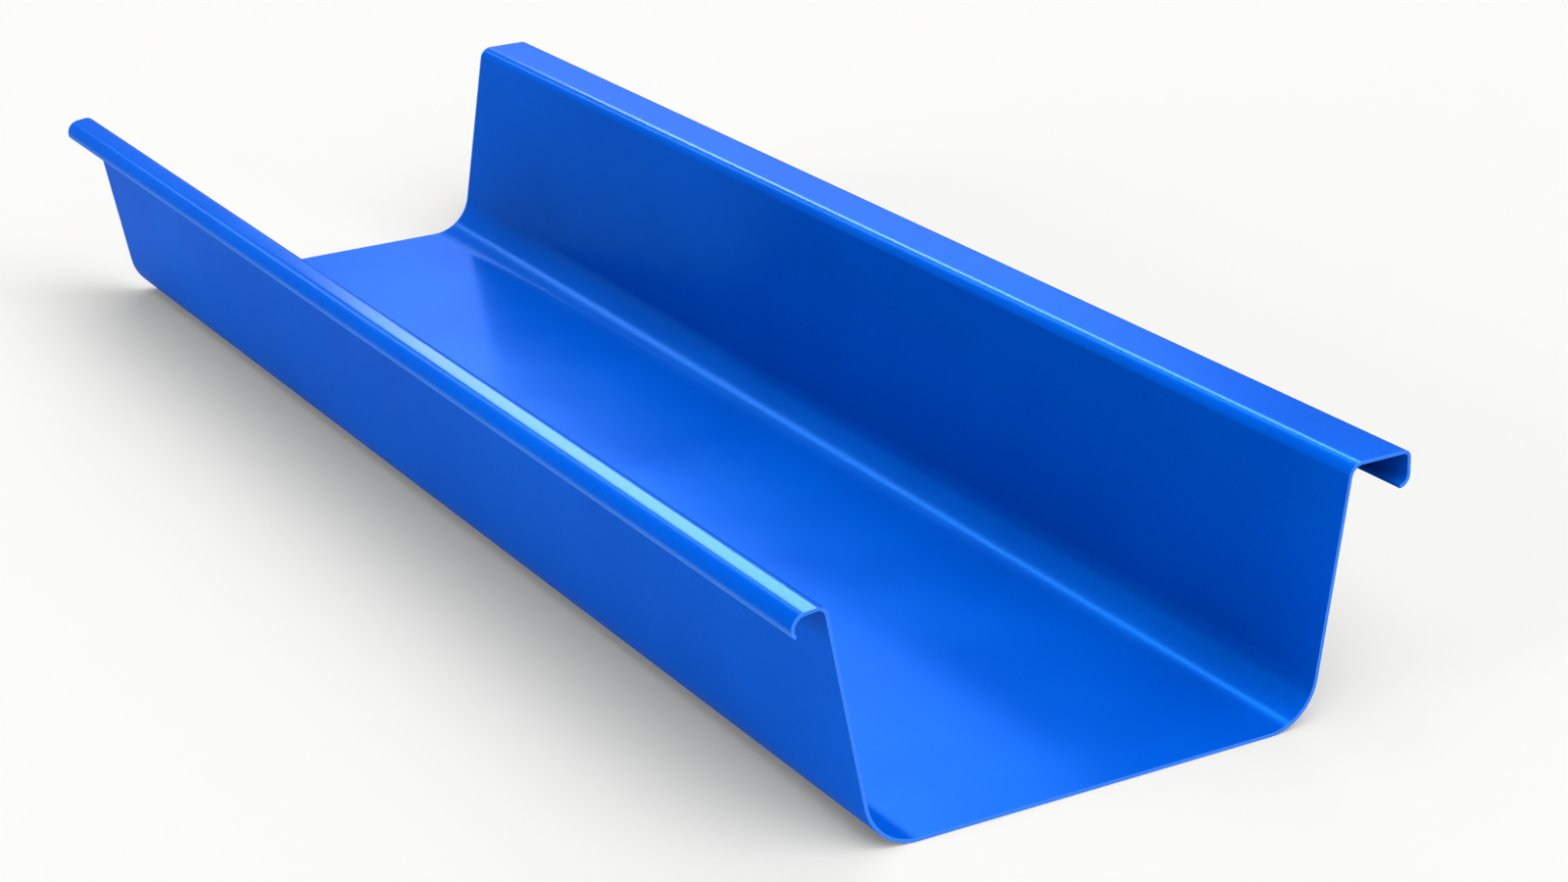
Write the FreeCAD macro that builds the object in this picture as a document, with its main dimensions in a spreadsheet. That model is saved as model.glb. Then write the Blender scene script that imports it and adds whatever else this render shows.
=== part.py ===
import FreeCAD, Part
import math
import os
import Sketcher

# Gutter section: a length of wide roof gutter, folded from one flat sheet.
# X runs across the trough, with the front wall at -X and the back wall at +X.
# Y runs along the gutter, and Z is up.
# The origin is the middle of the sole's underside.

# Sizes, in millimetres and degrees.
# A flat is the straight stretch between two bends, and a bend is an inside radius.
SIZES = {
    "gutter_length": 800.0,
    "sheet": 1.5,
    "sole_flat": 160.0,
    "foot_bend": 22.0,
    "wall_lean": 9.9,
    "front_wall_flat": 81.3,
    "back_wall_flat": 82.7,
    "front_rim_bend": 3.2,
    "front_rim_slope": 7.0,
    "front_rim_flat": 4.7,
    "front_curl_bend": 5.0,
    "front_drop_flat": 0.8,
    "front_hem_bend": 1.0,
    "front_hem_turn": 75.0,
    "back_rim_bend": 5.2,
    "flange_flat": 19.9,
    "flange_bend": 2.0,
    "back_drop_flat": 6.6,
    "back_hem_bend": 4.0,
    "back_hem_turn": 85.0,
}

# The folds of each side, from the sole outwards. Each has the bend's inside radius,
# its turn, whether it folds up (1) or down (-1), and the flat that follows it.
# A turn is a number of degrees and the named angles added to it or taken from it.
FOOT_TURN = (90, [(-1, "wall_lean")])
FRONT_FOLDS = [
    ("foot_bend", FOOT_TURN, 1, "front_wall_flat"),
    ("front_rim_bend", (90, [(-1, "wall_lean"), (1, "front_rim_slope")]), -1, "front_rim_flat"),
    ("front_curl_bend", (90, [(-1, "front_rim_slope")]), -1, "front_drop_flat"),
    ("front_hem_bend", (0, [(1, "front_hem_turn")]), -1, None),
]
BACK_FOLDS = [
    ("foot_bend", FOOT_TURN, 1, "back_wall_flat"),
    ("back_rim_bend", (90, [(-1, "wall_lean")]), -1, "flange_flat"),
    ("flange_bend", (90, []), -1, "back_drop_flat"),
    ("back_hem_bend", (0, [(1, "back_hem_turn")]), -1, None),
]

SHEET_LABEL = "Sizes"
START, END, CENTRE = 1, 2, 3
ORIGIN_POINT = (-1, 1)


def turn_degrees(turn):
    base, angles = turn
    return base + sum(sign * SIZES[name] for sign, name in angles)


def turn_expression(turn):
    base, angles = turn
    terms = ["%d" % base] + ["%+d * %s.%s" % (sign, SHEET_LABEL, name) for sign, name in angles]
    return "(%s) * 1 deg" % " ".join(terms)


def add_sizes(doc):
    """Spreadsheet with one named cell for each size."""
    sheet = doc.addObject("Spreadsheet::Sheet", SHEET_LABEL)
    for row, (name, value) in enumerate(SIZES.items(), start=1):
        sheet.set("A%d" % row, name)
        sheet.set("B%d" % row, str(value))
        sheet.setAlias("B%d" % row, name)
    doc.recompute()
    return sheet


def origin_plane(body, role):
    return next(plane for plane in body.Origin.OriginFeatures if plane.Role == role)


def bound(sketch, constraint, expression):
    """Adds a sketch constraint whose value follows the spreadsheet."""
    index = sketch.addConstraint(constraint)
    sketch.setExpression("Constraints[%d]" % index, expression)


class Face:
    """One face of the folded sheet in the sketch: its flats and bends on one side."""

    def __init__(self, sketch, side, upper):
        self.sketch = sketch
        self.side = side
        self.upper = upper
        self.bends = []
        self.end = None

    def point(self, across, up):
        return FreeCAD.Vector(self.side * across, up, 0)

    def add_flat(self, start, heading, length):
        """Line from start, given where the walk along the face leaves a bend."""
        stop = (start[0] + length * math.cos(heading), start[1] + length * math.sin(heading))
        line = Part.LineSegment(self.point(*start), self.point(*stop))
        return self.sketch.addGeometry(line, False), stop

    def add_bend(self, centre, radius, entry_angle, turn):
        """Arc about centre, from entry_angle through turn, both in radians."""
        exit_angle = entry_angle + turn
        low, high = sorted((entry_angle, exit_angle))
        if self.side < 0:
            low, high = math.pi - high, math.pi - low
        circle = Part.Circle(self.point(*centre), FreeCAD.Vector(0, 0, 1), radius)
        index = self.sketch.addGeometry(Part.ArcOfCircle(circle, low, high), False)
        self.bends.append(index)
        entry, leave = (START, END) if turn * self.side > 0 else (END, START)
        stop = (centre[0] + radius * math.cos(exit_angle), centre[1] + radius * math.sin(exit_angle))
        return index, entry, leave, stop

    def join(self, first, first_end, second, second_end):
        tangent = Sketcher.Constraint("Tangent", first, first_end, second, second_end)
        self.sketch.addConstraint(tangent)

    def fold(self, sole, sole_end, folds):
        """Walks from the sole's end through the folds, and remembers where it stops."""
        heading = 0.0
        here = (SIZES["sole_flat"] / 2, SIZES["sheet"] if self.upper else 0.0)
        last, last_end = sole, sole_end
        for bend, turn, sense, flat in folds:
            outside = self.upper == (sense < 0)
            radius = SIZES[bend] + (SIZES["sheet"] if outside else 0.0)
            entry_angle = heading - sense * math.pi / 2
            centre = (here[0] - radius * math.cos(entry_angle), here[1] - radius * math.sin(entry_angle))
            swing = sense * math.radians(turn_degrees(turn))
            arc, entry, leave, here = self.add_bend(centre, radius, entry_angle, swing)
            self.join(last, last_end, arc, entry)
            self.size_bend(arc, bend, turn, radius, outside)
            heading += swing
            last, last_end = arc, leave
            if flat:
                line, here = self.add_flat(here, heading, SIZES[flat])
                self.join(arc, leave, line, START)
                self.size_flat(line, flat)
                last, last_end = line, END
        self.end = (last, last_end, here)

    def size_bend(self, arc, bend, turn, radius, outside):
        value = "%s.%s" % (SHEET_LABEL, bend)
        if outside:
            value += " + %s.sheet" % SHEET_LABEL
        bound(self.sketch, Sketcher.Constraint("Radius", arc, radius), value)
        if not self.upper:
            angle = Sketcher.Constraint("Angle", arc, math.radians(turn_degrees(turn)))
            bound(self.sketch, angle, turn_expression(turn))

    def size_flat(self, line, flat):
        if not self.upper:
            length = Sketcher.Constraint("Distance", line, SIZES[flat])
            bound(self.sketch, length, "%s.%s" % (SHEET_LABEL, flat))


def add_sole(sketch, upper):
    """The sole's line on one face of the sheet, from the front foot to the back foot."""
    height = SIZES["sheet"] if upper else 0.0
    half = SIZES["sole_flat"] / 2
    line = Part.LineSegment(FreeCAD.Vector(-half, height, 0), FreeCAD.Vector(half, height, 0))
    index = sketch.addGeometry(line, False)
    if not upper:
        sketch.addConstraint(Sketcher.Constraint("Horizontal", index))
        sketch.addConstraint(Sketcher.Constraint("Symmetric", index, START, index, END, *ORIGIN_POINT))
        width = Sketcher.Constraint("Distance", index, SIZES["sole_flat"])
        bound(sketch, width, "%s.sole_flat" % SHEET_LABEL)
    return index


def close_edge(sketch, under, upper):
    """The sheet's cut edge, square across from one face to the other."""
    under_index, under_end, under_point = under.end
    upper_index, upper_end, upper_point = upper.end
    edge = Part.LineSegment(under.point(*under_point), upper.point(*upper_point))
    index = sketch.addGeometry(edge, False)
    sketch.addConstraint(Sketcher.Constraint("Coincident", index, START, under_index, under_end))
    sketch.addConstraint(Sketcher.Constraint("Coincident", index, END, upper_index, upper_end))
    sketch.addConstraint(Sketcher.Constraint("PointOnObject", under_index, CENTRE, index))


def draw_section(sketch):
    """The folded sheet's section: both faces as flats and tangent bends on shared centres."""
    soles = {upper: add_sole(sketch, upper) for upper in (False, True)}
    for side, sole_end, folds in ((-1, START, FRONT_FOLDS), (1, END, BACK_FOLDS)):
        under = Face(sketch, side, upper=False)
        upper = Face(sketch, side, upper=True)
        under.fold(soles[False], sole_end, folds)
        upper.fold(soles[True], sole_end, folds)
        for first, second in zip(under.bends, upper.bends):
            sketch.addConstraint(Sketcher.Constraint("Coincident", first, CENTRE, second, CENTRE))
        close_edge(sketch, under, upper)


def make_gutter(doc):
    """The folded sheet as one body: the section padded both ways along the gutter."""
    body = doc.addObject("PartDesign::Body", "GutterSheet")
    body.Label = "gutter_sheet"
    body.Placement = FreeCAD.Placement()
    section = body.newObject("Sketcher::SketchObject", "FoldedSection")
    section.AttachmentSupport = [(origin_plane(body, "XZ_Plane"), "")]
    section.MapMode = "FlatFace"
    draw_section(section)
    doc.recompute()
    length = body.newObject("PartDesign::Pad", "SheetLength")
    length.Profile = section
    length.Midplane = True
    length.setExpression("Length", "%s.gutter_length" % SHEET_LABEL)
    return body


def check(doc):
    for item in doc.Objects:
        if "Invalid" in item.State or "Error" in item.State:
            raise RuntimeError("%s is not valid: %s" % (item.Label, item.State))


def export(part):
    if part.Shape.isNull() or not part.Shape.isValid():
        raise RuntimeError("%s has no valid shape" % part.Label)
    part.Shape.exportStep("parts/%s.step" % part.Label)


doc = FreeCAD.newDocument("GutterSection")
add_sizes(doc)
gutter = make_gutter(doc)
doc.recompute()
check(doc)
os.makedirs("parts", exist_ok=True)
export(gutter)
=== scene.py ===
import math

import bpy
from mathutils import Matrix, Quaternion, Vector


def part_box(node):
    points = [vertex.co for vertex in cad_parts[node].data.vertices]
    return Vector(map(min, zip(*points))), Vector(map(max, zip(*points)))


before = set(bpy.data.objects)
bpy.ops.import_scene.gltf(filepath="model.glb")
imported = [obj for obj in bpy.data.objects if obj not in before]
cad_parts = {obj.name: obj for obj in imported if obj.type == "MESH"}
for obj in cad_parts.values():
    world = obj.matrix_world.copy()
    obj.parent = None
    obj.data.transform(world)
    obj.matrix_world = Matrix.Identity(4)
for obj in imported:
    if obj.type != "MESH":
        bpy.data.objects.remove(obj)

# A length of roof gutter folded from painted sheet, lying on a pale studio floor.
# X runs across the trough, Y along it, and Z is up. Lengths are in metres and angles in degrees.

MM = 0.001
WHITE = (1.0, 1.0, 1.0, 1.0)

# Camera, standing before the near end on the front wall's side
AIM = Vector((0.0604, -0.0499, 0.018))
CAMERA_DISTANCE = 1.6032
CAMERA_AZIMUTH = 28.73
CAMERA_HEIGHT_ANGLE = 20.72
CAMERA_ROLL = -1.91
CAMERA_LENS = 78.28
CAMERA_REACH = 100.0

# Studio light. A soft lamp's azimuth and height say where its light comes from.
WORLD_LIGHT = 0.02
SOFT_LAMPS = {
    "above": {"azimuth": 0, "height": 80, "strength": 0.5, "spread": 90},
    "before_high": {"azimuth": 180, "height": 55, "strength": 2.5, "spread": 60},
    "before_low": {"azimuth": 180, "height": 20, "strength": 0.8, "spread": 40},
    "behind_soft": {"azimuth": 45, "height": 50, "strength": 0.45, "spread": 60},
    "left_low": {"azimuth": -90, "height": 14, "strength": 0.84, "spread": 30},
    "behind_low": {"azimuth": 28, "height": 21, "strength": 0.16, "spread": 16},
}
# Long strip lamps beyond the far end, which show only as reflected lines along the bends.
# They are warm, so that the blue paint reflects them as a pale line.
STRIP_LAMPS = {
    "foot_line": {"start": (-0.456, 3, 1.288), "end": (0.234, 0.795, 1.42), "width": 0.26, "power": 28},
    "edge_line": {"start": (1.097, 4, 1.951), "end": (2.288, 4, 3.75), "width": 1.10, "power": 72},
    "rim_line": {"start": (0.535, 2, 0.938), "end": (0.758, 0.75, 1.386), "width": 0.34, "power": 52},
}
STRIP_COLOUR = (1.0, 0.60, 0.30)
STRIP_TARGET = Vector((0.09, 0, 0.05))

# Floor. Its glow is the share of plain white in it where it is seen or mirrored.
FLOOR_COLOUR = (0.88, 0.875, 0.86, 1.0)
FLOOR_GLOW = 0.14
FLOOR_SIZE = 24.0

# Paint colours
PAINT_BLUE = (0.0, 0.136, 0.85, 1.0)
PAINT_DEEP = (0.0, 0.106, 0.715, 1.0)
PAINT_SHEEN = (0.85, 0.92, 1.0, 1.0)
# Paler blue for the sheared ends, partly a painted highlight, and a painted highlight along the lip's hem
PALE_END_AND_HIGHLIGHT_BLUE = (0.05, 0.22, 0.85, 1.0)
BOUNCE_BLUE = (0.02, 0.04, 0.08, 1.0)

# Paint texture. A noise's scale is how many times it repeats in a metre.
CLOUD_SCALE = 9.0
CLOUD_DETAIL = 3.0
GRAIN_SCALE = 1400.0
PEEL_SCALE = 420.0
FINE_DETAIL = 2.0
TONE_SPAN = (0.7, 1.3)
CLOUD_SPAN = (0.3, 0.7)
ROUGHNESS = (0.16, 0.20)
PEEL_STRENGTH = 0.25
PEEL_DEPTH = 0.05 * MM
METAL_SHARE = 0.14

# Paler paint on the sheared ends, partly their thin coat and partly a painted highlight, and a painted
# highlight along the lip's hem:
# how far in it reaches from each end and from the front lip's outermost side, and between which depths
# below the sheet's highest point it comes in on the lip's hem
END_DEPTH = 0.25 * MM
END_PALENESS = 0.8
HEM_HIGHLIGHT_DEPTH = 2.73 * MM
HEM_HIGHLIGHT_DROPS = (9.13 * MM, 10.93 * MM)

# Edges of the sheet
JOIN_DISTANCE = 0.001 * MM
EDGE_WIDTH = 0.10 * MM
EDGE_SEGMENTS = 2
EDGE_ANGLE = 60


def direction(azimuth, height):
    """Unit vector towards an azimuth, from +Y towards +X, and a height angle."""
    a, e = math.radians(azimuth), math.radians(height)
    return Vector((math.sin(a) * math.cos(e), math.cos(a) * math.cos(e), math.sin(e)))


def empty_tree(owner):
    """The node tree of a material or a world, with its nodes cleared."""
    owner.use_nodes = True
    owner.node_tree.nodes.clear()
    return owner.node_tree


def node(tree, kind, inputs=None, **settings):
    """Adds a node, sets its settings and fills its sockets with values or links."""
    made = tree.nodes.new(kind)
    for name, value in settings.items():
        setattr(made, name, value)
    for name, value in (inputs or {}).items():
        if isinstance(value, bpy.types.NodeSocket):
            tree.links.new(value, made.inputs[name])
        else:
            made.inputs[name].default_value = value
    return made


def calculated(tree, operation, first, second=0.0):
    return node(tree, "ShaderNodeMath", {0: first, 1: second}, operation=operation).outputs[0]


def mapped(tree, value, start, end, low=0.0, high=1.0):
    """Turns start to end into low to high, and stays at low or high outside that span."""
    spans = {"Value": value, "From Min": start, "From Max": end, "To Min": low, "To Max": high}
    return node(tree, "ShaderNodeMapRange", spans).outputs["Result"]


def noise(tree, place, scale, detail):
    cells = {"Vector": place, "Scale": scale, "Detail": detail}
    return node(tree, "ShaderNodeTexNoise", cells).outputs["Fac"]


def mixed(tree, share, first, second):
    colours = {"Fac": share, "Color1": first, "Color2": second}
    return node(tree, "ShaderNodeMixRGB", colours).outputs["Color"]


def pale_ends_and_painted_highlight(tree, place):
    """How pale the paint is: on the sheared ends, partly their thin coat and partly a painted highlight,
    and along the lip's tight hem, a painted highlight.
    """
    lowest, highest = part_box("gutter_sheet")
    x, y, z = node(tree, "ShaderNodeSeparateXYZ", {"Vector": place}).outputs
    reach = calculated(tree, "ABSOLUTE", y)
    end = calculated(tree, "GREATER_THAN", reach, highest.y - END_DEPTH)
    side = calculated(tree, "LESS_THAN", x, lowest.x + HEM_HIGHLIGHT_DEPTH)
    low = mapped(tree, z, *(highest.z - drop for drop in HEM_HIGHLIGHT_DROPS))
    pale_end_and_highlight = calculated(tree, "MULTIPLY", end, END_PALENESS)
    painted_hem_highlight = calculated(tree, "MULTIPLY", side, low)
    return calculated(tree, "MAXIMUM", pale_end_and_highlight, painted_hem_highlight)


def paint_material():
    """Semi-gloss coil paint: even blue with faint clouding, a fine grain and orange peel."""
    material = bpy.data.materials.new("blue_coil_paint")
    tree = empty_tree(material)
    place = node(tree, "ShaderNodeTexCoord").outputs["Object"]
    cloud = noise(tree, place, CLOUD_SCALE, CLOUD_DETAIL)
    grain = noise(tree, place, GRAIN_SCALE, FINE_DETAIL)
    peel = noise(tree, place, PEEL_SCALE, FINE_DETAIL)
    tone = mapped(tree, calculated(tree, "ADD", cloud, grain), *TONE_SPAN)
    blue = mixed(tree, tone, PAINT_DEEP, PAINT_BLUE)
    # Paler blue on the sheared ends, partly their thin coat and partly a painted highlight, and a painted
    # highlight along the lip's hem
    paint = mixed(tree, pale_ends_and_painted_highlight(tree, place), blue, PALE_END_AND_HIGHLIGHT_BLUE)
    # Light that bounces off the sheet stays dim, so its shadow is grey as in the photo
    bounce = node(tree, "ShaderNodeLightPath").outputs["Is Diffuse Ray"]
    bump = node(tree, "ShaderNodeBump", {"Height": peel, "Strength": PEEL_STRENGTH, "Distance": PEEL_DEPTH})
    shader = node(tree, "ShaderNodeBsdfPrincipled", {
        "Base Color": mixed(tree, bounce, paint, BOUNCE_BLUE),
        "Roughness": mapped(tree, cloud, *CLOUD_SPAN, *ROUGHNESS),
        "Normal": bump.outputs["Normal"],
        "Metallic": METAL_SHARE,
        "Specular IOR Level": 0.0,
        "Specular Tint": PAINT_SHEEN,
    })
    node(tree, "ShaderNodeOutputMaterial", {"Surface": shader.outputs["BSDF"]})
    return material


def seen_ray(tree):
    """1 where a camera, mirror or see-through ray arrives, and 0 for the light itself."""
    path = node(tree, "ShaderNodeLightPath").outputs
    mirrored = calculated(tree, "MAXIMUM", path["Is Glossy Ray"], path["Is Transmission Ray"])
    return calculated(tree, "MAXIMUM", path["Is Camera Ray"], mirrored)


def floor_material():
    """Matt pale grey that takes the shadow, lifted towards white where it is seen or mirrored."""
    material = bpy.data.materials.new("pale_floor")
    tree = empty_tree(material)
    matt = node(tree, "ShaderNodeBsdfDiffuse", {"Color": FLOOR_COLOUR}).outputs["BSDF"]
    glow = node(tree, "ShaderNodeEmission", {"Color": WHITE, "Strength": 1.0}).outputs["Emission"]
    share = calculated(tree, "MULTIPLY", seen_ray(tree), FLOOR_GLOW)
    surface = node(tree, "ShaderNodeMixShader", {0: share, 1: matt, 2: glow}).outputs["Shader"]
    node(tree, "ShaderNodeOutputMaterial", {"Surface": surface})
    return material


def joining_group():
    """Joins the CAD mesh along its faces' borders and shades it smooth, ready for a bevel."""
    tree = bpy.data.node_groups.new("joined_faces", "GeometryNodeTree")
    for side in ("INPUT", "OUTPUT"):
        tree.interface.new_socket("Geometry", in_out=side, socket_type="NodeSocketGeometry")
    split = node(tree, "NodeGroupInput").outputs["Geometry"]
    merging = {"Geometry": split, "Distance": JOIN_DISTANCE}
    joined = node(tree, "GeometryNodeMergeByDistance", merging).outputs["Geometry"]
    shading = {"Mesh": joined, "Remove Custom": True}
    smooth = node(tree, "GeometryNodeSetMeshNormal", shading).outputs["Mesh"]
    node(tree, "NodeGroupOutput", {"Geometry": smooth})
    return tree


def dress_sheet(sheet):
    """Paints the CAD sheet and gives its sheared edges a fine bevel."""
    sheet.data.materials[0] = paint_material()
    sheet.modifiers.new("joined_faces", "NODES").node_group = joining_group()
    bevel = sheet.modifiers.new("sheared_edges", "BEVEL")
    bevel.width = EDGE_WIDTH
    bevel.segments = EDGE_SEGMENTS
    bevel.limit_method = "ANGLE"
    bevel.angle_limit = math.radians(EDGE_ANGLE)
    sheet.modifiers.new("even_normals", "WEIGHTED_NORMAL")


def add_floor():
    bpy.ops.mesh.primitive_plane_add(size=FLOOR_SIZE)
    floor = bpy.context.object
    floor.name = "floor"
    floor.data.materials.append(floor_material())


def add_holder(data, turn, place=(0, 0, 0)):
    """Puts a lamp or a camera into the scene, turned by a quaternion."""
    holder = bpy.data.objects.new(data.name, data)
    holder.location = place
    holder.rotation_mode = "QUATERNION"
    holder.rotation_quaternion = turn
    bpy.context.scene.collection.objects.link(holder)
    return holder


def add_soft_lamp(name, azimuth, height, strength, spread):
    lamp = bpy.data.lights.new(name, "SUN")
    lamp.energy = strength
    lamp.angle = math.radians(spread)
    add_holder(lamp, (-direction(azimuth, height)).to_track_quat("-Z", "Y"))


def add_strip_lamp(name, start, end, width, power):
    """A narrow lamp from start to end, turned about its length to face the gutter."""
    start, end = Vector(start), Vector(end)
    middle = (start + end) / 2
    along = (end - start).normalized()
    back = middle - STRIP_TARGET
    back = (back - back.dot(along) * along).normalized()
    lamp = bpy.data.lights.new(name, "AREA")
    lamp.shape = "RECTANGLE"
    lamp.size = (end - start).length
    lamp.size_y = width
    lamp.energy = power
    lamp.color = STRIP_COLOUR
    turn = Matrix((along, back.cross(along), back)).transposed().to_quaternion()
    add_holder(lamp, turn, middle).visible_diffuse = False


def light_world():
    """White where it is seen or mirrored, and a faint even light on everything."""
    world = bpy.data.worlds.new("studio")
    tree = empty_tree(world)
    level = mapped(tree, seen_ray(tree), 0.0, 1.0, WORLD_LIGHT, 1.0)
    shine = node(tree, "ShaderNodeBackground", {"Color": WHITE, "Strength": level})
    node(tree, "ShaderNodeOutputWorld", {"Surface": shine.outputs["Background"]})
    bpy.context.scene.world = world


def add_camera():
    ahead = direction(CAMERA_AZIMUTH, -CAMERA_HEIGHT_ANGLE)
    roll = Quaternion((0, 0, 1), math.radians(CAMERA_ROLL))
    camera = bpy.data.cameras.new("camera")
    camera.lens = CAMERA_LENS
    camera.clip_end = CAMERA_REACH
    turn = ahead.to_track_quat("-Z", "Y") @ roll
    bpy.context.scene.camera = add_holder(camera, turn, AIM - ahead * CAMERA_DISTANCE)


bpy.context.view_layer.update()
dress_sheet(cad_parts["gutter_sheet"])
add_floor()
for name, lamp in SOFT_LAMPS.items():
    add_soft_lamp(name, **lamp)
for name, lamp in STRIP_LAMPS.items():
    add_strip_lamp(name, **lamp)
light_world()
add_camera()
bpy.context.scene.view_settings.view_transform = "Standard"
bpy.context.view_layer.update()
